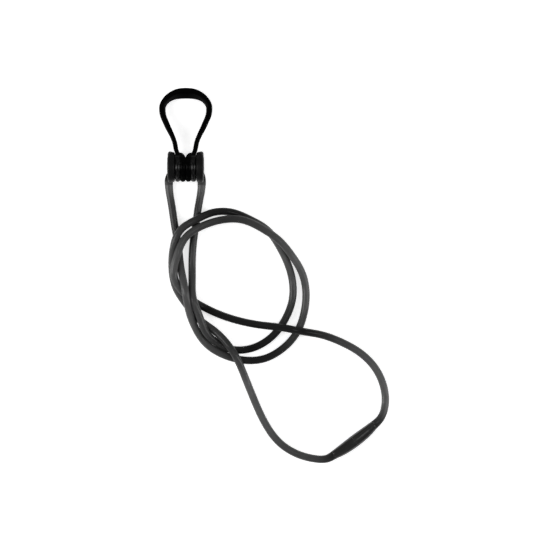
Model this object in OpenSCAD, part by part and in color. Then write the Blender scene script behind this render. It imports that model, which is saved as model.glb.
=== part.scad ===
// Eyeglass retainer strap: a neck cord whose two ends turn on a small barrel,
// with a rubber loop on the same barrel for one temple of the glasses.
// It lies on the plane z = 0. The barrel runs along X, and the loop points along +Y.

/* [Neck cord] */
// Diameter of the silicone neck cord
cord_d = 3; // [2.8:0.1:3]
// Sides of the cord's tube
cord_sides = 8; // [8:1:12]

/* [Barrel] */
// Diameter of the barrel that the eyes and eyelets sit on
core_d = 6.7; // [6:0.1:6.7]
// Diameter of the steel pin through the barrel
pin_d = 2.5; // [2:0.1:3]
// Length of the barrel between the end caps
core_l = 13.3; // [13.3:0.1:13.4]
// Diameter of the countersunk end caps
cap_d = 8.4; // [8:0.1:8.6]

/* [Eyelets] */
// Outer diameter of an eyelet's ring
eyelet_d = 12.6; // [12.4:0.1:12.6]
// Thickness of an eyelet's ring
eyelet_t = 2.9; // [2.7:0.1:2.9]
// Distance from the middle of the barrel to an eyelet's ring
eyelet_x = 5.7; // [5.7:0.05:5.75]
// Radial clearance of the eyelets on the barrel
running_fit = 0.05; // [0.02:0.01:0.1]

/* [Temple loop] */
// Height of the loop's band, which stands on edge
band_h = 5; // [4:0.1:5]
// Thickness of the band
band_t = 1.9; // [1.6:0.1:2]
// Outward lean of the band at the far end of the loop, in degrees
band_lean = 40; // [20:1:40]
// Outer diameter of the ribbed eyes at the band's ends
eye_d = 11.8; // [11:0.1:11.8]
// Width of each eye along the barrel
eye_w = 4.05; // [3.8:0.05:4.05]
// Ribs on each eye
eye_ribs = 2; // [1:1:3]

/* [Release joint] */
// Length of the closed joint
joint_l = 20; // [20:0.1:20]
// Largest diameter of the joint
joint_d = 5; // [4.4:0.1:5]
// Diameter of the snap pin
snap_d = 1.9; // [1.6:0.1:2]
// Length of the snap pin that stands in the socket
snap_l = 5; // [4:0.1:5.5]

/* [Hidden] */

rubber = "#101010";
smoke = "#3c3c3c";
dark_smoke = "#2c2c2c";
steel = "#a8a8a8";

// The barrel's axis, and where the cords leave the eyelets.
axis_y = -12.5;
axis_z = eyelet_d / 2;
exit_y = -19;
exit_x = [-6.8, 6.3];
exit_z = 1.5;

// The release joint lies between these two points, at this turn about Z.
joint_at = [67, -121, joint_d / 2];
joint_turn = atan2(3, 4);
joint_axis = [0.8, 0.6, 0];

// Inner gap between two parts that face each other along the barrel.
side_gap = 0.1;

// Barbs that hold the cords: radius of the stem and of the ridges, and length in each piece.
barb_r = 0.75;
barb_ridge_r = 0.95;
barb_in_fitting = 1.5;
barb_in_cord = 2;

// Half of the loop's band: [x, distance from the barrel's axis, lean as a share of band_lean].
band_half = [
    [3.05, 3.8, 0], [3.2, 5.2, 0], [3.75, 6.7, 0], [4.2, 9, 0], [5.35, 12.4, 0], [6.9, 15.6, 0.04],
    [8.2, 18.5, 0.05], [9, 20.5, 0.09], [9.35, 22.7, 0.13], [9.25, 24.4, 0.17], [8.4, 26.1, 0.26],
    [7, 27.6, 0.42], [5.1, 28.7, 0.66], [2.8, 29.4, 0.9]
];
band_far = [0, 29.6, 1];
band_path = concat(
    band_half,
    [band_far],
    [for (i = [len(band_half) - 1 : -1 : 0]) [-band_half[i][0], band_half[i][1], band_half[i][2]]]
);

// Routes of the cords, from the eyelets to the release joint.
cord_left_route = [
    [-6.8, -19, 1.5], [-5.7, -27.5, 1.5], [-4.5, -35.5, 1.5], [-3.1, -43.5, 1.5], [-2.1, -52, 2.6],
    [-0.5, -60, 6.4], [1, -68.5, 5.8], [3.5, -76, 2.5], [8.1, -82.9, 1.5], [15.1, -87.4, 1.5],
    [23, -89.5, 1.5], [31, -89, 1.5], [38.5, -85, 1.5], [44, -79, 1.5], [47, -71.5, 1.5],
    [48, -63.5, 1.5], [46.5, -55, 2], [42.5, -48, 3.5], [37, -41.5, 4.5], [30.5, -37, 4.6],
    [22.5, -33.5, 4.6], [14.5, -33.5, 4.3], [6.5, -36, 4.6], [0, -40.5, 5], [-3.5, -48, 5.1],
    [-4.5, -56.5, 4.5], [-0.5, -63, 3.5], [6.5, -68, 1.5], [14, -71.5, 1.5], [22, -74, 1.5],
    [30, -75.5, 3], [38.5, -76.5, 4.8], [46.5, -78, 4.6], [54.5, -79.5, 2.3], [62.5, -82.5, 1.5],
    [69.5, -86.5, 1.5], [75.5, -92.5, 1.5], [79, -100, 1.5], [79.5, -108, 1.7], [77, -113.5, 2.5],
    [75, -115, 2.5]
];
cord_right_route = [
    [6.3, -19, 1.5], [5.2, -27, 1.5], [4, -35, 1.5], [3, -42, 1.5], [2.5, -49.5, 1.5],
    [2.5, -57.5, 2.8], [3, -65, 5.8], [5.5, -72, 5], [8.7, -79.3, 3.5], [11.8, -82.1, 2.1], [14.9, -84.1, 1.7],
    [22, -85.5, 1.5], [29.5, -83.5, 1.5], [35.5, -79, 1.5], [40, -72.5, 1.5], [42.5, -65.5, 1.5],
    [42.5, -57.5, 1.5], [40.5, -50.5, 1.5], [37, -43.5, 1.5], [32.5, -37.5, 1.5], [26, -33.5, 1.5],
    [18.5, -30.5, 1.8], [11, -30.5, 3], [4, -33.5, 4.6], [-2, -37.5, 4.9], [-5, -45, 3.7],
    [-5.5, -53, 1.5], [-4, -60.5, 1.5], [0, -67, 1.5], [5, -73, 1.5], [11, -77.5, 2.2],
    [17, -83.5, 4.6], [20.5, -89, 4.6], [23.5, -96, 2.2], [26.5, -103.5, 1.5], [29.5, -110.5, 1.5],
    [33, -117, 1.5], [38, -123, 1.5], [44.5, -127, 1.5], [52, -129, 1.7], [57, -128.5, 2.5],
    [59, -127, 2.5]
];

$fn = 64;

// ---- functions for swept shapes ----

function unit(v) = v / norm(v);

// Direction of the route at point i, with the ends' own directions where they are given.
function heading(route, i, first, last) =
    i == 0 ? (is_undef(first) ? unit(route[1] - route[0]) : first)
    : i == len(route) - 1 ? (is_undef(last) ? unit(route[i] - route[i - 1]) : last)
    : unit(unit(route[i + 1] - route[i]) + unit(route[i] - route[i - 1]));

// A ring of points square to direction d, round centre c.
function ring(c, d, r, sides) =
    let (
        side = unit(cross(d, [0, 0, 1])),
        up = cross(side, d)
    )
    [for (k = [0 : sides - 1])
        let (a = 360 * (k + 0.5) / sides)
        c + r * (cos(a) * side + sin(a) * up)];

// The faces of a tube of n rings with m points each, closed by its two end faces.
function tube_faces(n, m) = concat(
    [[for (k = [m - 1 : -1 : 0]) k]],
    [for (i = [0 : n - 2], k = [0 : m - 1])
        [i * m + k, i * m + (k + 1) % m, (i + 1) * m + (k + 1) % m, (i + 1) * m + k]],
    [[for (k = [0 : m - 1]) (n - 1) * m + k]]
);

module tube(route, d, sides, first = undef, last = undef) {
    points = [for (i = [0 : len(route) - 1])
        each ring(route[i], heading(route, i, first, last), d / 2, sides)];
    polyhedron(points, tube_faces(len(route), sides));
}

// Turns a shape made along Z so that it runs along X from the middle of the barrel.
module on_barrel(side = 1) {
    translate([0, axis_y, axis_z]) rotate([0, 90 * side, 0]) children();
}

// Places a shape made along Z on the joint's axis, with +Z towards the left cord.
module on_joint() {
    translate(joint_at) rotate([0, 0, joint_turn]) rotate([0, 90, 0]) children();
}

// Places a shape made along Z at one end of the joint, with +Z into the cord.
module at_joint_end(end) {
    on_joint() rotate([0, end > 0 ? 0 : 180, 0]) translate([0, 0, joint_l / 2]) children();
}

// ---- temple loop ----

// Cross-section of the band at one point of its path, leaning outward.
function band_section(p, d, lean) =
    let (
        out = unit([d[1], -d[0], 0]),
        up = cos(lean) * [0, 0, 1] + sin(lean) * out,
        across = cos(lean) * out - sin(lean) * [0, 0, 1],
        bevel = band_t * 0.3,
        h = band_h / 2,
        t = band_t / 2
    )
    [for (q = [
        [t, -h + bevel], [t, h - bevel], [t - bevel, h], [-t + bevel, h],
        [-t, h - bevel], [-t, -h + bevel], [-t + bevel, -h], [t - bevel, -h]
    ]) p + q[0] * across + q[1] * up];

// Height of the band's middle: it runs down from the barrel until its far end lies on z = 0.
function band_z(reach) =
    let (far_z = cos(band_lean) * band_h / 2 + sin(band_lean) * (band_t / 2 - 0.3 * band_t) + 0.11)
    axis_z + (far_z - axis_z) * max(0, reach - band_half[0][1]) / (band_far[1] - band_half[0][1]);

module band() {
    path = [for (b = band_path) [b[0], axis_y + b[1], band_z(b[1])]];
    points = [for (i = [0 : len(path) - 1])
        let (d = heading(path, i, [0, 1, 0], [0, -1, 0]))
        each band_section(path[i], unit([d[0], d[1], 0]), band_lean * band_path[i][2])];
    polyhedron(points, tube_faces(len(path), 8));
}

// One ribbed eye, seen from the middle of the barrel outwards along Z.
module eye_ribbed() {
    pitch = (eye_w - side_gap / 2) / eye_ribs;
    rib_r = pitch / 2 + 0.03;
    rotate_extrude() {
        translate([core_d / 2, side_gap / 2]) square([eye_d / 2 - rib_r - core_d / 2, eye_w - side_gap / 2]);
        intersection() {
            for (k = [0 : eye_ribs - 1])
                translate([eye_d / 2 - rib_r, side_gap / 2 + (k + 0.5) * pitch]) circle(rib_r);
            translate([core_d / 2, side_gap / 2]) square([eye_d, eye_w - side_gap / 2]);
        }
    }
}

// Outline of an eye from above: its inner far corner is rounded, so the two eyes part in a V.
module eye_plan() {
    corner_r = 2.6;
    far = eye_d / 2;
    translate([side_gap / 2, -far - 1]) square([eye_w - side_gap / 2, 2 * far + 1 - corner_r]);
    translate([side_gap / 2 + corner_r, 0]) square([eye_w - side_gap / 2 - corner_r, far]);
    translate([side_gap / 2 + corner_r, far - corner_r]) circle(corner_r);
}

// The smooth saddle that joins an eye to its leg, on the far side of the barrel.
module eye_saddle() {
    intersection() {
        rotate_extrude() translate([core_d / 2, side_gap / 2])
            square([eye_d / 2 - 0.08 - core_d / 2, eye_w - side_gap / 2]);
        translate([-eye_d, 1, 0]) cube([2 * eye_d, eye_d, eye_w]);
    }
}

module eye(side) {
    intersection() {
        on_barrel(side) {
            eye_ribbed();
            eye_saddle();
        }
        translate([0, axis_y, 0]) mirror([side > 0 ? 0 : 1, 0, 0]) linear_extrude(2 * eyelet_d) eye_plan();
    }
}

// The root of a leg, which narrows from the eye's height to the band's.
module leg_root(side) {
    near = [band_half[0][0], 4.2];
    far = [4.05, 8.4];
    hull() {
        translate([side * near[0], axis_y + near[1], axis_z]) cube([1.5, 0.4, 7.4], center = true);
        translate([side * far[0], axis_y + far[1], band_z(far[1])]) cube([1.2, 0.4, 4.4], center = true);
    }
}

module temple_loop() {
    color(rubber) {
        band();
        for (side = [-1, 1]) {
            eye(side);
            leg_root(side);
        }
    }
}

// ---- barrel ----

module barrel() {
    color(rubber) on_barrel() difference() {
        cylinder(d = core_d, h = core_l, center = true);
        cylinder(d = pin_d, h = core_l + 2, center = true);
    }
}

module barrel_pin() {
    color(steel) on_barrel() cylinder(d = pin_d, h = core_l + 1, center = true);
}

module end_cap(side) {
    rim = cap_d / 2;
    inner = core_l / 2;
    color(rubber) on_barrel(side) rotate_extrude() polygon([
        [pin_d / 2, inner], [core_d / 2 + 0.1, inner], [rim - 0.3, inner + 0.28],
        [rim, inner + 0.5], [rim, inner + 0.55], [rim - 0.5, inner + 0.65], [pin_d / 2, inner + 0.7]
    ]);
}

// ---- eyelets ----

module eyelet(side, x_end) {
    ring_r = (eyelet_d - eyelet_t) / 2;
    bore_r = core_d / 2 + running_fit;
    land = 1.8;
    x = side * eyelet_x;
    color(dark_smoke) {
        on_barrel(side) translate([0, 0, eyelet_x]) rotate_extrude() {
            intersection() {
                translate([ring_r, 0]) circle(d = eyelet_t);
                translate([bore_r, -eyelet_t]) square(2 * eyelet_t);
            }
            translate([bore_r, -land / 2]) square([ring_r - bore_r, land]);
        }
        difference() {
            tube([
                [x, axis_y - 1.4, exit_z], [x + (x_end - x) * 0.3, axis_y - 2.8, exit_z],
                [x + (x_end - x) * 0.8, axis_y - 4.2, exit_z], [x_end, axis_y - 5.2, exit_z],
                [x_end, exit_y, exit_z]
            ], cord_d, 16, last = [0, -1, 0]);
            at_exit(x_end) stem_hole();
        }
    }
}

// Places a shape made along Z at the end of an eyelet's neck, with +Z into the cord.
module at_exit(x_end) {
    translate([x_end, exit_y, exit_z]) rotate([90, 0, 0]) children();
}

// A barbed pin along Z, from the fitting at z < 0 into the cord at z > 0.
module barb() {
    translate([0, 0, -barb_in_fitting]) cylinder(r = barb_r, h = barb_in_fitting + barb_in_cord);
    for (z = [0.2, 1.1]) translate([0, 0, z]) cylinder(r1 = barb_ridge_r, r2 = barb_r, h = 0.8);
}

// The hole in a fitting, at z < 0, that a barb's stem is glued into.
module stem_hole() {
    translate([0, 0, -barb_in_fitting - 0.02]) cylinder(r = barb_r + 0.01, h = barb_in_fitting + 1);
}

// The hole that a barb fills in the end of a cord.
module barb_hole() {
    translate([0, 0, -1]) cylinder(r = barb_ridge_r + 0.05, h = barb_in_cord + 1.1);
}

module eyelet_barb(x_end) {
    color(steel) at_exit(x_end) barb();
}

// ---- neck cord ----

module neck_cord(route, x_end, last) {
    color(smoke) difference() {
        tube(route, cord_d, cord_sides, first = [0, -1, 0], last = last);
        at_exit(x_end) barb_hole();
        at_joint_end(last[0] < 0 ? 1 : -1) barb_hole();
    }
}

// ---- release joint ----

// Radius of the joint's spindle at a distance from its middle.
function spindle_r(s) =
    let (end_r = cord_d / 2 + 0.1)
    end_r + (joint_d / 2 - end_r) * (1 - pow(2 * s / joint_l, 2));

module joint_shell(bore_r, bore_l) {
    steps = 10;
    first = 0.05;
    half = joint_l / 2;
    difference() {
        rotate_extrude() polygon(concat(
            [[0, first]],
            [for (i = [0 : steps]) let (s = first + (half - first) * i / steps) [spindle_r(s), s]],
            [[0, half]]
        ));
        translate([0, 0, -1]) cylinder(r = bore_r, h = bore_l + 1);
        translate([0, 0, half]) stem_hole();
    }
}

module joint_socket() {
    color(dark_smoke) on_joint() joint_shell(snap_d / 2 + 0.25, snap_l + 0.6);
}

module joint_plug() {
    color(dark_smoke) on_joint() mirror([0, 0, 1]) joint_shell(snap_d / 2, 4);
}

module snap_pin() {
    ridge_r = snap_d / 2 + 0.2;
    color(steel) on_joint() {
        translate([0, 0, -4]) cylinder(d = snap_d, h = snap_l + 4);
        translate([0, 0, snap_l - 1.6]) cylinder(r1 = snap_d / 2, r2 = ridge_r, h = 0.5);
        translate([0, 0, snap_l - 1.1]) cylinder(r1 = ridge_r, r2 = snap_d / 2, h = 0.8);
    }
}

module joint_barb(end) {
    color(steel) at_joint_end(end) barb();
}

// ---- the object ----

temple_loop();
barrel();
barrel_pin();
end_cap(-1);  // end_cap_left
end_cap(1);  // end_cap_right
eyelet(-1, exit_x[0]);  // eyelet_left
eyelet(1, exit_x[1]);  // eyelet_right
eyelet_barb(exit_x[0]);  // eyelet_barb_left
eyelet_barb(exit_x[1]);  // eyelet_barb_right
neck_cord(cord_left_route, exit_x[0], -joint_axis);  // neck_cord_left
neck_cord(cord_right_route, exit_x[1], joint_axis);  // neck_cord_right
joint_socket();
joint_plug();
snap_pin();
joint_barb(1);  // socket_barb
joint_barb(-1);  // plug_barb
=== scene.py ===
import math
import bpy
import numpy as np
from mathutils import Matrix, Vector


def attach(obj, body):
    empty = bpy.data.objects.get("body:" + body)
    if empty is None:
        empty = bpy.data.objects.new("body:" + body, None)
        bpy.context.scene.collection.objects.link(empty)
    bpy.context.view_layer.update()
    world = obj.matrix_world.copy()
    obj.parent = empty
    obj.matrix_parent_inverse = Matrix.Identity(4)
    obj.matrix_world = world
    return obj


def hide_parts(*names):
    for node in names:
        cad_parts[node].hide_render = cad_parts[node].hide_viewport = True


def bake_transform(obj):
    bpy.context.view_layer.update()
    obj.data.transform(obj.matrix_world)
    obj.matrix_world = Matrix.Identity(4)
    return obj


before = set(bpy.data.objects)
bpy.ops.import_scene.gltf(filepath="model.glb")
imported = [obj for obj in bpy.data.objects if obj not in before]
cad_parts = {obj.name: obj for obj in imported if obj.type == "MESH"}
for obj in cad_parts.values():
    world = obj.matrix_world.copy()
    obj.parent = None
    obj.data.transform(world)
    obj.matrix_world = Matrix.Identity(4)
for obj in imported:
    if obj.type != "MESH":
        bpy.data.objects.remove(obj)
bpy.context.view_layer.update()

MM = 0.001


# ---- camera ----

VIEW_WIDTH = 0.220
VIEW_CENTRE = (0.0356, -0.0555)
CAMERA_HEIGHT = 1.6
SENSOR_WIDTH = 36

cam_data = bpy.data.cameras.new("camera")
cam_data.sensor_width = SENSOR_WIDTH
cam_data.lens = SENSOR_WIDTH * CAMERA_HEIGHT / VIEW_WIDTH
cam_data.clip_end = 20
cam = bpy.data.objects.new("camera", cam_data)
cam.location = (*VIEW_CENTRE, CAMERA_HEIGHT)
bpy.context.collection.objects.link(cam)
bpy.context.scene.camera = cam


# ---- mesh helpers ----

SPLINE_PARTS = 24


def step01(x):
    """A smooth step from 0 to 1."""
    x = np.clip(x, 0, 1)
    return x * x * (3 - 2 * x)


def lengths_along(path):
    """The distance along a path from its start to each of its points."""
    return np.r_[0, np.cumsum(np.linalg.norm(np.diff(path, axis=0), axis=1))]


def path_length(path):
    return float(lengths_along(path)[-1])


def mesh_object(name, verts, faces, smooth=True):
    mesh = bpy.data.meshes.new(name)
    mesh.from_pydata([tuple(v) for v in verts], [], faces)
    mesh.validate()
    mesh.update()
    for p in mesh.polygons:
        p.use_smooth = smooth
    obj = bpy.data.objects.new(name, mesh)
    bpy.context.collection.objects.link(obj)
    return obj


def grid_faces(n, m, closed_u=False):
    """Quads between n rings of m points. closed_u joins the last ring to the first."""
    faces = []
    for i in range(n if closed_u else n - 1):
        a, b = i * m, ((i + 1) % n) * m
        for k in range(m):
            k2 = (k + 1) % m
            faces.append((a + k, a + k2, b + k2, b + k))
    return faces


def spline(points, first, last, step):
    """Points every step along the smooth curve through points, with unit end directions first and last."""
    p = np.array(points, float)
    n = len(p)
    h = np.linalg.norm(np.diff(p, axis=0), axis=1)
    a = np.zeros((n, n))
    b = np.zeros((n, 3))
    a[0, 0] = a[-1, -1] = 1
    b[0], b[-1] = first, last
    for i in range(1, n - 1):
        a[i, i - 1], a[i, i], a[i, i + 1] = h[i], 2 * (h[i - 1] + h[i]), h[i - 1]
        b[i] = 3 * (h[i] * (p[i] - p[i - 1]) / h[i - 1] + h[i - 1] * (p[i + 1] - p[i]) / h[i])
    d = np.linalg.solve(a, b)
    fine = []
    for i in range(n - 1):
        for t in np.linspace(0, 1, SPLINE_PARTS, endpoint=False):
            fine.append((2 * t**3 - 3 * t**2 + 1) * p[i] + (t**3 - 2 * t**2 + t) * h[i] * d[i]
                        + (3 * t**2 - 2 * t**3) * p[i + 1] + (t**3 - t**2) * h[i] * d[i + 1])
    fine.append(p[-1])
    fine = np.array(fine)
    s = lengths_along(fine)
    at = np.linspace(0, s[-1], int(round(s[-1] / step)) + 1)
    return np.stack([np.interp(at, s, fine[:, k]) for k in range(3)], 1)


def headings(path, first, last):
    """Unit directions along a path, with the given ones at its ends."""
    d = np.gradient(path, axis=0)
    d[0], d[-1] = first, last
    return d / np.linalg.norm(d, axis=1)[:, None]


def tube_rings(path, radii, sides, first, last):
    """Rings of points along a path that never runs straight up."""
    d = headings(path, first, last)
    side = np.cross(d, (0, 0, 1))
    side /= np.linalg.norm(side, axis=1)[:, None]
    up = np.cross(side, d)
    ang = 2 * np.pi * np.arange(sides) / sides
    outward = np.cos(ang)[None, :, None] * side[:, None] + np.sin(ang)[None, :, None] * up[:, None]
    return (path[:, None] + radii[:, None, None] * outward).reshape(-1, 3)


def capped(n, m):
    """Faces of a closed tube of n rings with m points."""
    return grid_faces(n, m) + [tuple(range(m - 1, -1, -1)), tuple(range((n - 1) * m, n * m))]


def length_uv(obj, path, sides):
    """A UV map with u along a tube in metres and v round it."""
    s = lengths_along(path)
    uv = obj.data.uv_layers.new(name="along")
    last_ring = len(path) - 1
    for poly in obj.data.polygons:
        places = [divmod(obj.data.loops[loop].vertex_index, sides) for loop in poly.loop_indices]
        on_seam = len(places) == 4 and {0, sides - 1} <= {k for ring, k in places}
        for loop, (ring, k) in zip(poly.loop_indices, places):
            turn = sides if on_seam and k == 0 else k
            uv.data[loop].uv = (s[min(ring, last_ring)], turn / sides)


# ---- neck cord: its two lengths, from the eyelets to the release joint ----

CORD_D = 0.003
CORD_SIDES = 20
CORD_STEP = 0.0008
FLARE_L = 0.007
NECK_FLARE = 0.00018
JOINT_FLARE = 0.00028
OFF_FLOOR = 0.00001
DOWN_THE_PAGE = np.array((0.0, -1.0, 0.0))
UP = np.array((0.0, 0.0, 1.0))

JOINT_AT = np.array((0.067, -0.121, 0.0025))
JOINT_L = 0.020
JOINT_D = 0.005
JOINT_AXIS = np.array((0.8, 0.6, 0.0))

# The joint's bow: its direction, its depth, and how far along and beside the joint it reaches.
JOINT_OUT = np.array((0.6, -0.8, 0.0))
JOINT_BOW = 0.0009
BOW_REACH = 0.0145
BOW_WIDTH = 0.006

EXIT_LEFT = (-0.0068, -0.019, 0.0015)
EXIT_RIGHT = (0.0063, -0.019, 0.0015)

ROUTE_LEFT = [
    (-0.0068, -0.019, 0.0015), (-0.0057, -0.0275, 0.0015), (-0.0045, -0.0355, 0.0015),
    (-0.0031, -0.0435, 0.0015), (-0.0021, -0.052, 0.0026), (-0.0005, -0.06, 0.0064),
    (0.001, -0.0685, 0.0058), (0.0035, -0.076, 0.0025), (0.0081, -0.0829, 0.0015),
    (0.0151, -0.0874, 0.0015), (0.023, -0.0895, 0.0015), (0.031, -0.089, 0.0015),
    (0.0385, -0.085, 0.0015), (0.044, -0.079, 0.0015), (0.047, -0.0715, 0.0015), (0.048, -0.0635, 0.0015),
    (0.0465, -0.055, 0.002), (0.0425, -0.048, 0.0035), (0.037, -0.0415, 0.0045), (0.0305, -0.037, 0.0046),
    (0.0225, -0.0335, 0.0046), (0.0145, -0.0335, 0.0043), (0.0065, -0.036, 0.0046), (0.0, -0.0405, 0.005),
    (-0.0035, -0.048, 0.0051), (-0.0045, -0.0565, 0.0045), (-0.0005, -0.063, 0.0035),
    (0.0065, -0.068, 0.0015), (0.014, -0.0715, 0.0015), (0.022, -0.074, 0.0015), (0.03, -0.0755, 0.003),
    (0.0385, -0.0765, 0.0048), (0.0465, -0.078, 0.0046), (0.0545, -0.0795, 0.0023),
    (0.0625, -0.0825, 0.0015), (0.0695, -0.0865, 0.0015), (0.0755, -0.0925, 0.0015),
    (0.079, -0.1, 0.0015), (0.0795, -0.108, 0.0017), (0.077, -0.1135, 0.0025), (0.075, -0.115, 0.0025)]
ROUTE_RIGHT = [
    (0.0063, -0.019, 0.0015), (0.0052, -0.027, 0.0015), (0.004, -0.035, 0.0015), (0.003, -0.042, 0.0015),
    (0.0025, -0.0495, 0.0015), (0.0025, -0.0575, 0.0028), (0.003, -0.065, 0.0058),
    (0.0055, -0.072, 0.005), (0.0087, -0.0793, 0.0035), (0.0118, -0.0821, 0.0021),
    (0.0149, -0.0841, 0.0017), (0.022, -0.0855, 0.0015), (0.0295, -0.0835, 0.0015),
    (0.0355, -0.079, 0.0015), (0.04, -0.0725, 0.0015), (0.0425, -0.0655, 0.0015),
    (0.0425, -0.0575, 0.0015), (0.0405, -0.0505, 0.0015), (0.037, -0.0435, 0.0015),
    (0.0325, -0.0375, 0.0015), (0.026, -0.0335, 0.0015), (0.0185, -0.0305, 0.0018),
    (0.011, -0.0305, 0.003), (0.004, -0.0335, 0.0046), (-0.002, -0.0375, 0.0049),
    (-0.005, -0.045, 0.0037), (-0.0055, -0.053, 0.0015), (-0.004, -0.0605, 0.0015), (0.0, -0.067, 0.0015),
    (0.005, -0.073, 0.0015), (0.011, -0.0775, 0.0022), (0.017, -0.0835, 0.0046), (0.0205, -0.089, 0.0046),
    (0.0235, -0.096, 0.0022), (0.0265, -0.1035, 0.0015), (0.0295, -0.1105, 0.0015),
    (0.033, -0.117, 0.0015), (0.038, -0.123, 0.0015), (0.0445, -0.127, 0.0015), (0.052, -0.129, 0.0017),
    (0.057, -0.1285, 0.0025), (0.059, -0.127, 0.0025)]


def bowed(points):
    """The release joint is bowed to the outside of the loop, and the cord ends beside it go with it."""
    off = points - JOINT_AT
    along = np.clip(np.abs(off @ JOINT_AXIS) / BOW_REACH, 0, 1)
    near = np.abs(off @ JOINT_OUT) < BOW_WIDTH
    return points + np.multiply.outer(JOINT_BOW * near * (1 - along ** 3) ** 2, JOINT_OUT)


def neck_cord(name, route, last):
    """A cord along its route, a little thicker at both ends, and its centreline."""
    path = spline(route, DOWN_THE_PAGE, last, CORD_STEP)
    path[:, 2] = np.maximum(path[:, 2], CORD_D / 2)
    path = bowed(path)
    from_exit = lengths_along(path)
    to_joint = from_exit[-1] - from_exit
    radii = (CORD_D / 2 + JOINT_FLARE * np.clip(1 - to_joint / FLARE_L, 0, 1) ** 2
             + NECK_FLARE * np.clip(1 - from_exit / FLARE_L, 0, 1) ** 2)
    verts = tube_rings(path, radii, CORD_SIDES, DOWN_THE_PAGE, last)
    verts[:, 2] = np.maximum(verts[:, 2], OFF_FLOOR)
    obj = mesh_object(name, verts, capped(len(path), CORD_SIDES))
    length_uv(obj, path, CORD_SIDES)
    return obj, path


cord_left, path_left = neck_cord("cord_left", ROUTE_LEFT, -JOINT_AXIS)
cord_right, path_right = neck_cord("cord_right", ROUTE_RIGHT, JOINT_AXIS)


# ---- release joint: two halves of a smooth swelling ----

JOINT_SIDES = 64
LIP = 0.00002
MOUTH = 0.00001
BORE_RINGS = 4


def joint_half(name, end, bore_r, bore_l):
    """One half, turned about the joint's axis. end is 1 towards the left cord and -1 towards the right one.

    The outline runs from the bottom of the bore, over the mouth, to the point inside the cord. The bore stays
    on the axis, and the rest is bowed with the cords.
    """
    half = JOINT_L / 2
    end_r = CORD_D / 2 + 0.0003

    def r_at(s):
        return end_r + (JOINT_D / 2 - end_r) * (1 - (s / half) ** 2)

    outline = [(0.0, bore_l), (bore_r, bore_l), (bore_r, 10 * MOUTH), (bore_r + LIP, MOUTH)]
    outline += [(r_at(0) - 2 * LIP, MOUTH), (r_at(0) - LIP / 2, 4 * MOUTH), (r_at(10 * MOUTH), 10 * MOUTH)]
    outline += [(r_at(s), s) for s in np.linspace(0.0004, half - 0.00025, 34)]
    outline += [(end_r - 0.00003, half), (end_r - 0.0002, half + 0.0002), (end_r - 0.0006, half + 0.0004),
                (0.0, half + 0.0004)]
    ang = 2 * np.pi * np.arange(JOINT_SIDES) / JOINT_SIDES
    verts, faces, rings = [], [], []
    for i, (r, s) in enumerate(outline):
        c = JOINT_AT + end * s * JOINT_AXIS
        if i >= BORE_RINGS:
            c = bowed(c)
        if r == 0:
            rings.append([len(verts)])
            verts.append(c)
        else:
            rings.append(list(range(len(verts), len(verts) + JOINT_SIDES)))
            verts += [c + r * (math.sin(a) * UP - math.cos(a) * JOINT_OUT) for a in ang]
    for a, b in zip(rings, rings[1:]):
        for k in range(JOINT_SIDES):
            k2 = (k + 1) % JOINT_SIDES
            quad = [a[k % len(a)], a[k2 % len(a)], b[k2 % len(b)], b[k % len(b)]]
            face = tuple(dict.fromkeys(quad))
            faces.append(face if end > 0 else face[::-1])
    return mesh_object(name, verts, faces)


joint_socket = joint_half("joint_socket_skin", 1, bore_r=0.0012, bore_l=0.0056)
joint_plug = joint_half("joint_plug_skin", -1, bore_r=0.00096, bore_l=0.0039)


# ---- rubber pieces that are moulded in one: union by voxels, then smoothed ----

VOXEL = 0.00014
SMOOTH_ROUNDS = 3


def fused(name, parts):
    """One smooth skin round several closed meshes."""
    verts, faces = [], []
    for v, f in parts:
        faces += [tuple(len(verts) + i for i in face) for face in f]
        verts += [tuple(p) for p in v]
    raw = mesh_object(name + "_raw", verts, faces)
    remesh = raw.modifiers.new("remesh", "REMESH")
    remesh.mode = "VOXEL"
    remesh.voxel_size = VOXEL
    remesh.use_smooth_shade = True
    smooth = raw.modifiers.new("smooth", "SMOOTH")
    smooth.factor = 0.5
    smooth.iterations = SMOOTH_ROUNDS
    depsgraph = bpy.context.evaluated_depsgraph_get()
    mesh = bpy.data.meshes.new_from_object(raw.evaluated_get(depsgraph))
    mesh.name = name
    for p in mesh.polygons:
        p.use_smooth = True
    obj = bpy.data.objects.new(name, mesh)
    bpy.context.collection.objects.link(obj)
    bpy.data.objects.remove(raw, do_unlink=True)
    return obj


AXIS_Y = -0.0125
AXIS_Z = 0.0063
CORE_R = 0.0034

EYE_R = 0.0059
EYE_W = 0.00415
EYE_CORNER_R = 0.0026
RIB_DEPTH = 0.00075
SIDE_GAP = 0.0001


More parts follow.
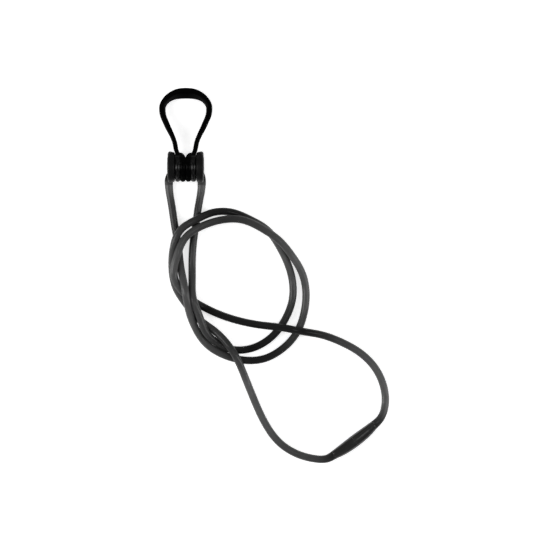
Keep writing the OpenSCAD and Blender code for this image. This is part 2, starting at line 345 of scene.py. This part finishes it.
def eye_part(side):
    """A ribbed eye: two ribs round the barrel, a smooth saddle on its far side and a rounded inner corner."""
    n_x, n_a = 84, 200
    inner, outer = SIDE_GAP / 2, EYE_W
    least_cos = 0.02
    xs = inner + (outer - inner) * (0.5 - 0.5 * np.cos(np.pi * np.linspace(0, 1, n_x)))
    pitch = (outer - inner) / 2
    u = (xs - inner) / pitch % 1.0
    u[-1] = 1.0
    rib = RIB_DEPTH * (1 - np.sqrt(np.clip(1 - (2 * u - 1) ** 2, 0, 1))) ** 0.9
    shoulder = np.maximum(0, 0.0001 - (outer - xs)) + np.maximum(0, 0.00022 - (xs - inner))
    dx = np.maximum(0, EYE_CORNER_R - (xs - inner))
    y_cap = EYE_R - EYE_CORNER_R + np.sqrt(np.maximum(EYE_CORNER_R**2 - dx**2, 0))
    ang = 2 * np.pi * np.arange(n_a) / n_a
    verts = []
    for x, drop, sh, cap in zip(xs, rib, shoulder, y_cap):
        saddle_from = 0.0005 + 0.0029 * (abs(x) / EYE_W) ** 1.4
        saddle = step01((EYE_R * np.cos(ang) - saddle_from) / 0.0006 + 0.5)
        r = EYE_R - (1 - saddle) * drop - saddle * 0.00008 - 0.7 * sh
        limit = np.where(np.cos(ang) > least_cos, cap / np.maximum(np.cos(ang), least_cos), 1.0)
        r = np.maximum(np.minimum(r, limit), CORE_R + 0.0001)
        for a, rr in zip(ang, r):
            verts.append((side * x, AXIS_Y + rr * math.cos(a), AXIS_Z + rr * math.sin(a)))
    for x in (xs[-1], xs[0]):
        for a in ang:
            verts.append((side * x, AXIS_Y + CORE_R * math.cos(a), AXIS_Z + CORE_R * math.sin(a)))
    faces = grid_faces(n_x + 2, n_a, closed_u=True)
    return verts, [f if side < 0 else f[::-1] for f in faces]


# Half of the band in mm: x, distance from the barrel's axis, and lean as a share of BAND_LEAN.
BAND_HALF = [
    (3.05, 3.8, 0), (3.2, 5.2, 0), (3.75, 6.7, 0), (4.2, 9, 0), (5.35, 12.4, 0), (6.9, 15.6, 0.04),
    (8.2, 18.5, 0.05), (9, 20.5, 0.09), (9.35, 22.7, 0.13), (9.25, 24.4, 0.17), (8.4, 26.1, 0.26),
    (7, 27.6, 0.42), (5.1, 28.7, 0.66), (2.8, 29.4, 0.9)]
BAND_FAR = (0, 29.6, 1)
OUTWARD, INWARD = (0, 1, 0), (0, -1, 0)
BAND_H = 0.005
BAND_T = 0.0019
BAND_LEAN = math.radians(40)
BAND_STEP = 0.0003
BAND_SIDES = 40
ROOT_TALLER = 0.0024
ROOT_THINNER = 0.00025
BEND_THICKER = 0.0004
LEAN_AS_LENGTH = 10 * MM


def band_part():
    """The band: it stands on edge, leans outward at its far end, and grows taller where it joins the eyes."""
    whole = BAND_HALF + [BAND_FAR] + [(-x, reach, lean) for x, reach, lean in BAND_HALF[::-1]]
    fine = spline(np.array(whole) * (MM, MM, LEAN_AS_LENGTH), OUTWARD, INWARD, BAND_STEP)
    reach = fine[:, 1]
    lean = BAND_LEAN * np.clip(fine[:, 2] / LEAN_AS_LENGTH, 0, 1)
    far_z = math.cos(BAND_LEAN) * BAND_H / 2 + math.sin(BAND_LEAN) * BAND_T * 0.2 + 0.0002
    start, end = BAND_HALF[0][1] * MM, BAND_FAR[1] * MM
    z = AXIS_Z + (far_z - AXIS_Z) * np.maximum(0, reach - start) / (end - start)
    path = np.column_stack([fine[:, 0], AXIS_Y + reach, z])
    d = headings(fine * (1, 1, 0), OUTWARD, INWARD)
    root = 1 - step01((reach - 0.0045) / 0.0042)
    height = BAND_H + root * ROOT_TALLER
    thick = BAND_T - root * ROOT_THINNER + BEND_THICKER * step01((reach - 0.010) / 0.008)
    turn = 2 * np.pi * np.arange(BAND_SIDES) / BAND_SIDES
    section_x = np.sign(np.cos(turn)) * np.abs(np.cos(turn)) ** 0.55
    section_y = np.sign(np.sin(turn)) * np.abs(np.sin(turn)) ** 0.42
    verts = []
    for at, heading, tilt, h, t in zip(path, d, lean, height, thick):
        out = np.array((heading[1], -heading[0], 0.0))
        up = math.cos(tilt) * UP + math.sin(tilt) * out
        across = math.cos(tilt) * out - math.sin(tilt) * UP
        for a, b in zip(section_x, section_y):
            verts.append(at + a * t / 2 * across + b * h / 2 * up)
    return verts, capped(len(path), BAND_SIDES)


temple_loop = fused("temple_loop_skin", [eye_part(-1), eye_part(1), band_part()])


RING_R = 0.00485
RING_T = 0.00145
RING_SEGMENTS = 160
RING_SIDES = 48
BEAD_POWER = 0.62
INNER_DROP = 0.16
HUB_HALF_W = 0.0009
EYELET_X = 0.0057
EXIT_Z = 0.0015
NECK_SIDES = 40
NECK_STEP = 0.0002
NECK_END_Y = -0.0196
NECK_OFF_FLOOR = 0.00005


def ring_part(side):
    """An eyelet's ring: a rounded bead, a little higher on its outer side."""
    def bulge(c):
        return math.copysign(abs(c) ** BEAD_POWER, c)

    verts = []
    for i in range(RING_SEGMENTS):
        a = 2 * math.pi * i / RING_SEGMENTS
        for k in range(RING_SIDES):
            b = 2 * math.pi * k / RING_SIDES
            dx = RING_T * bulge(math.sin(b))
            r = max(RING_R + RING_T * bulge(math.cos(b)), CORE_R)
            if r > RING_R:
                r -= (r - RING_R) * INNER_DROP * step01(0.55 - 0.9 * dx / RING_T)
            verts.append((side * (EYELET_X + dx), AXIS_Y + r * math.cos(a), AXIS_Z + r * math.sin(a)))
    faces = grid_faces(RING_SEGMENTS, RING_SIDES, closed_u=True)
    return verts, [f if side > 0 else f[::-1] for f in faces]


def hub_part(x):
    """The flat sleeve between an eyelet's ring and the barrel."""
    outline = [(-HUB_HALF_W, CORE_R), (HUB_HALF_W, CORE_R), (HUB_HALF_W, RING_R), (-HUB_HALF_W, RING_R)]
    verts = []
    for i in range(RING_SEGMENTS):
        a = 2 * math.pi * i / RING_SEGMENTS
        for dx, r in outline:
            verts.append((x + dx, AXIS_Y + r * math.cos(a), AXIS_Z + r * math.sin(a)))
    return verts, grid_faces(RING_SEGMENTS, len(outline), closed_u=True)


def eyelet(name, side, x_end):
    """An eyelet: ring, sleeve and the neck that bends from the ring to the cord's exit at x_end."""
    x = side * EYELET_X
    route = [(x, AXIS_Y - 0.0014, EXIT_Z), (x + (x_end - x) * 0.3, AXIS_Y - 0.0028, EXIT_Z),
             (x + (x_end - x) * 0.8, AXIS_Y - 0.0042, EXIT_Z), (x_end, AXIS_Y - 0.0052, EXIT_Z),
             (x_end, NECK_END_Y, EXIT_Z)]
    path = spline(route, DOWN_THE_PAGE, DOWN_THE_PAGE, NECK_STEP)
    radii = CORD_D / 2 + OFF_FLOOR + NECK_FLARE * step01((AXIS_Y - 0.0018 - path[:, 1]) / 0.0025)
    neck = tube_rings(path, radii, NECK_SIDES, DOWN_THE_PAGE, DOWN_THE_PAGE)
    neck[:, 2] = np.maximum(neck[:, 2], NECK_OFF_FLOOR)
    return fused(name, [ring_part(side), hub_part(x), (neck, capped(len(path), NECK_SIDES))])


eyelet_left = eyelet("eyelet_left_skin", -1, EXIT_LEFT[0])
eyelet_right = eyelet("eyelet_right_skin", 1, EXIT_RIGHT[0])


# ---- materials ----

PLAIN_COAT = 0.05
COAT_ROUGHNESS = 0.26


def new_material(name):
    mat = bpy.data.materials.new(name)
    mat.use_nodes = True
    nodes, links = mat.node_tree.nodes, mat.node_tree.links
    shader = next(n for n in nodes if n.type == "BSDF_PRINCIPLED")
    return mat, nodes, links, shader


def noise(nodes, links, coord, scale, detail, rough=0.5):
    n = nodes.new("ShaderNodeTexNoise")
    n.inputs["Scale"].default_value = scale
    n.inputs["Detail"].default_value = detail
    n.inputs["Roughness"].default_value = rough
    links.new(coord, n.inputs["Vector"])
    return n


def ramp(nodes, links, value, stops):
    r = nodes.new("ShaderNodeValToRGB")
    while len(r.color_ramp.elements) < len(stops):
        r.color_ramp.elements.new(0.5)
    for e, (pos, c) in zip(r.color_ramp.elements, stops):
        e.position = pos
        e.color = (*c, 1) if hasattr(c, "__len__") else (c, c, c, 1)
    links.new(value, r.inputs["Fac"])
    return r


def map_range(nodes, links, value, a, b, c, d):
    """Takes a value from the range a to b to the range c to d."""
    n = nodes.new("ShaderNodeMapRange")
    for i, v in zip((1, 2, 3, 4), (a, b, c, d)):
        n.inputs[i].default_value = v
    links.new(value, n.inputs[0])
    return n


def bump(nodes, links, height, strength, distance, normal=None):
    b = nodes.new("ShaderNodeBump")
    b.inputs["Strength"].default_value = strength
    b.inputs["Distance"].default_value = distance
    links.new(height, b.inputs["Height"])
    if normal is not None:
        links.new(normal, b.inputs["Normal"])
    return b


def rubber_material(name, dark, light, rough, spec, grain_depth=0.35, neck_tone=None, polished=None):
    """Moulded rubber: fine grain, soft patches of tone and handling marks.

    neck_tone gives a paler end beyond the eyelet, and polished gives a glossier part round the barrel.
    """
    mat, nodes, links, shader = new_material(name)
    coord = nodes.new("ShaderNodeTexCoord").outputs["Object"]
    grain = noise(nodes, links, coord, 5200, 3, 0.6)
    patch = noise(nodes, links, coord, 180, 4, 0.55)
    wear = noise(nodes, links, coord, 900, 6, 0.7)
    colour = ramp(nodes, links, patch.outputs["Fac"], [(0.35, dark), (0.7, light)])
    if neck_tone:
        split = nodes.new("ShaderNodeSeparateXYZ")
        links.new(coord, split.inputs[0])
        down = map_range(nodes, links, split.outputs["Y"], -0.0174, -0.0188, 0, 1)
        fade = nodes.new("ShaderNodeMixRGB")
        links.new(down.outputs[0], fade.inputs["Fac"])
        links.new(colour.outputs["Color"], fade.inputs[1])
        neck = ramp(nodes, links, wear.outputs["Fac"], [(0.3, neck_tone * 0.9), (0.7, neck_tone * 1.05)])
        links.new(neck.outputs["Color"], fade.inputs[2])
        colour = fade
    links.new(colour.outputs["Color"], shader.inputs["Base Color"])
    r = map_range(nodes, links, wear.outputs["Fac"], 0.3, 0.7, rough - 0.07, rough + 0.08)
    links.new(r.outputs[0], shader.inputs["Roughness"])
    shader.inputs["Specular IOR Level"].default_value = spec
    if polished:
        place = nodes.new("ShaderNodeSeparateXYZ")
        links.new(coord, place.inputs[0])
        outward = nodes.new("ShaderNodeMath")
        outward.operation = "ABSOLUTE"
        links.new(place.outputs["X"], outward.inputs[0])
        on_outer_rib = map_range(nodes, links, outward.outputs[0], 0.0019, 0.0027, PLAIN_COAT, polished)
        gloss = map_range(nodes, links, place.outputs["Y"], -0.0076, -0.0090, PLAIN_COAT, PLAIN_COAT)
        links.new(on_outer_rib.outputs[0], gloss.inputs[4])
        links.new(gloss.outputs[0], shader.inputs["Coat Weight"])
        shader.inputs["Coat Roughness"].default_value = COAT_ROUGHNESS
    b1 = bump(nodes, links, grain.outputs["Fac"], grain_depth, 0.00003)
    b2 = bump(nodes, links, patch.outputs["Fac"], 0.2, 0.0002, b1.outputs["Normal"])
    links.new(b2.outputs["Normal"], shader.inputs["Normal"])
    return mat


def cord_material(name, painted_shade, length, rough, spec):
    """Extruded smoke silicone whose colour along its length is painted light and shade, with random cloudy
    tone, faint draw lines and fine grain.
    """
    mat, nodes, links, shader = new_material(name)
    tex = nodes.new("ShaderNodeTexCoord")
    split = nodes.new("ShaderNodeSeparateXYZ")
    links.new(tex.outputs["UV"], split.inputs[0])
    along = map_range(nodes, links, split.outputs["X"], 0, length, 0, 1)
    # Painted light and shade: the colour steps lighter and darker along the cord with how the lamps fall on
    # each stretch.
    painted_shade_ramp = ramp(nodes, links, along.outputs[0], painted_shade)
    cloud = noise(nodes, links, tex.outputs["Object"], 260, 3, 0.5)
    painted_shade_and_cloud = nodes.new("ShaderNodeMixRGB")
    painted_shade_and_cloud.blend_type = "MULTIPLY"
    painted_shade_and_cloud.inputs["Fac"].default_value = 1
    links.new(painted_shade_ramp.outputs["Color"], painted_shade_and_cloud.inputs[1])
    shade = ramp(nodes, links, cloud.outputs["Fac"], [(0.3, 0.82), (0.72, 1.0)])
    links.new(shade.outputs["Color"], painted_shade_and_cloud.inputs[2])
    links.new(painted_shade_and_cloud.outputs["Color"], shader.inputs["Base Color"])
    draw_scale = nodes.new("ShaderNodeMapping")
    draw_scale.inputs["Scale"].default_value = (60, 26, 1)
    links.new(tex.outputs["UV"], draw_scale.inputs["Vector"])
    draw = noise(nodes, links, draw_scale.outputs[0], 1, 3, 0.6)
    grain = noise(nodes, links, tex.outputs["Object"], 4200, 2, 0.5)
    r = map_range(nodes, links, cloud.outputs["Fac"], 0.3, 0.7, rough - 0.05, rough + 0.06)
    links.new(r.outputs[0], shader.inputs["Roughness"])
    shader.inputs["Specular IOR Level"].default_value = spec
    shader.inputs["Coat Weight"].default_value = 0.25
    shader.inputs["Coat Roughness"].default_value = 0.13
    b1 = bump(nodes, links, draw.outputs["Fac"], 0.16, 0.00004)
    b2 = bump(nodes, links, grain.outputs["Fac"], 0.15, 0.00002, b1.outputs["Normal"])
    links.new(b2.outputs["Normal"], shader.inputs["Normal"])
    return mat


def steel_material(name):
    """Steel with fine lines square to X."""
    mat, nodes, links, shader = new_material(name)
    coord = nodes.new("ShaderNodeTexCoord").outputs["Object"]
    stretch = nodes.new("ShaderNodeMapping")
    stretch.inputs["Scale"].default_value = (9000, 900, 900)
    links.new(coord, stretch.inputs["Vector"])
    lines = noise(nodes, links, stretch.outputs[0], 1, 3, 0.6)
    colour = ramp(nodes, links, lines.outputs["Fac"], [(0.3, (0.42, 0.42, 0.43)), (0.7, (0.62, 0.62, 0.63))])
    links.new(colour.outputs["Color"], shader.inputs["Base Color"])
    shader.inputs["Metallic"].default_value = 1
    r = map_range(nodes, links, lines.outputs["Fac"], 0.3, 0.7, 0.22, 0.36)
    links.new(r.outputs[0], shader.inputs["Roughness"])
    b = bump(nodes, links, lines.outputs["Fac"], 0.15, 0.00001)
    links.new(b.outputs["Normal"], shader.inputs["Normal"])
    return mat


# Painted light and shade along each cord, by share of its length from its eyelet, judged: lighter where the
# cord runs up and down the page, darker where it runs across it.
BLACK, DARK, DEEP, MID, PALE = 0.003, 0.01, 0.03, 0.06, 0.1
PAINTED_SHADE_LEFT = [
    (0, PALE), (0.03, DEEP), (0.07, DEEP), (0.1, MID), (0.17, PALE), (0.23, MID), (0.27, DARK),
    (0.3, DARK), (0.35, MID), (0.43, PALE), (0.48, MID), (0.53, DEEP), (0.59, MID), (0.63, PALE),
    (0.67, MID), (0.7, BLACK), (0.73, DARK), (0.83, DARK), (0.88, MID), (0.93, PALE), (0.97, PALE),
    (1, DARK)]
PAINTED_SHADE_RIGHT = [
    (0, PALE), (0.03, DEEP), (0.07, DEEP), (0.12, MID), (0.18, MID), (0.23, DEEP), (0.27, BLACK),
    (0.3, DARK), (0.34, DEEP), (0.38, MID), (0.42, PALE), (0.45, PALE), (0.5, DARK), (0.54, DARK),
    (0.57, DEEP), (0.61, MID), (0.64, PALE), (0.73, MID), (0.77, DEEP), (0.8, MID), (0.83, PALE),
    (0.88, PALE), (0.93, MID), (0.97, MID), (1, DARK)]

black = rubber_material("black_rubber", 0.0004, 0.001, 0.34, 0.0, 0.12, polished=0.5)
cap_rubber = rubber_material("cap_rubber", 0.002, 0.005, 0.42, 0.2)
smoke_rubber = rubber_material("smoke_silicone", 0.005, 0.008, 0.42, 0.07, 0.2, neck_tone=0.06)
joint_rubber = rubber_material("joint_silicone", 0.008, 0.013, 0.19, 0.5, 0.03)
core_plastic = rubber_material("core_plastic", 0.006, 0.012, 0.35, 0.4)
# Both cords take their painted light and shade along their length from these tables.
cord_left_mat = cord_material("cord_silicone_left", PAINTED_SHADE_LEFT, path_length(path_left), 0.45, 0.04)
cord_right_mat = cord_material("cord_silicone_right", PAINTED_SHADE_RIGHT, path_length(path_right), 0.45, 0.04)
steel = steel_material("turned_steel")


def wear_material(obj, mat):
    """Gives a piece its one material."""
    obj.data.materials.clear()
    obj.data.materials.append(mat)


for piece, mat in ((temple_loop, black), (eyelet_left, smoke_rubber), (eyelet_right, smoke_rubber),
                   (cord_left, cord_left_mat), (cord_right, cord_right_mat),
                   (joint_socket, joint_rubber), (joint_plug, joint_rubber)):
    wear_material(piece, mat)

for node, mat in (("barrel", core_plastic), ("barrel_pin", steel), ("end_cap_left", cap_rubber),
                  ("end_cap_right", cap_rubber), ("eyelet_barb_left", steel), ("eyelet_barb_right", steel),
                  ("snap_pin", steel), ("socket_barb", steel), ("plug_barb", steel)):
    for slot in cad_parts[node].material_slots:
        slot.material = mat


# ---- bodies ----

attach(temple_loop, "loop")
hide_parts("temple_loop")
for piece, node in ((eyelet_left, "eyelet_left"), (eyelet_right, "eyelet_right")):
    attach(piece, "strap")
    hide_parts(node)
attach(cord_left, "strap")
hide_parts("neck_cord_left")
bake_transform(cord_right)
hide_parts("neck_cord_right")
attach(joint_socket, "strap")
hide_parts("joint_socket")
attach(joint_plug, "plug")
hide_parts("joint_plug")


# ---- floor and light ----

FLOOR = 1.5
LIGHTS_AIM = Vector((0.035, -0.055, 0))

floor_corners = [(-FLOOR, -FLOOR, 0), (FLOOR, -FLOOR, 0), (FLOOR, FLOOR, 0), (-FLOOR, FLOOR, 0)]
floor = mesh_object("floor", floor_corners, [(0, 1, 2, 3)], smooth=False)
floor_mat, _, _, shader = new_material("floor")
shader.inputs["Base Color"].default_value = (0.93, 0.93, 0.93, 1)
shader.inputs["Roughness"].default_value = 0.9
shader.inputs["Specular IOR Level"].default_value = 0.0
shader.inputs["Emission Color"].default_value = (1, 1, 1, 1)
shader.inputs["Emission Strength"].default_value = 0.62
wear_material(floor, floor_mat)

world = bpy.data.worlds.new("studio")
bpy.context.scene.world = world
world.use_nodes = True
background = next(n for n in world.node_tree.nodes if n.type == "BACKGROUND")
background.inputs["Color"].default_value = (1, 1, 1, 1)
background.inputs["Strength"].default_value = 0.22


def soft_light(name, location, size, power):
    """A rectangular lamp that faces the object."""
    data = bpy.data.lights.new(name, "AREA")
    data.shape = "RECTANGLE"
    data.size, data.size_y = size
    data.energy = power
    obj = bpy.data.objects.new(name, data)
    obj.location = location
    obj.rotation_euler = (LIGHTS_AIM - Vector(location)).to_track_quat("-Z", "Y").to_euler()
    bpy.context.collection.objects.link(obj)


soft_light("light_left", (-0.965, -0.055, 0.55), (0.35, 1.3), 9.2)
soft_light("light_right", (1.035, -0.055, 0.55), (0.35, 1.3), 6.3)
soft_light("light_far", (0.035, 0.95, 0.9), (1.2, 0.5), 0.9)
soft_light("light_near", (0.035, -1.05, 0.9), (1.2, 0.5), 0.8)
soft_light("light_top", (0.205, -0.085, 1.25), (0.2, 0.2), 0.75)

bpy.context.scene.view_settings.view_transform = "Standard"
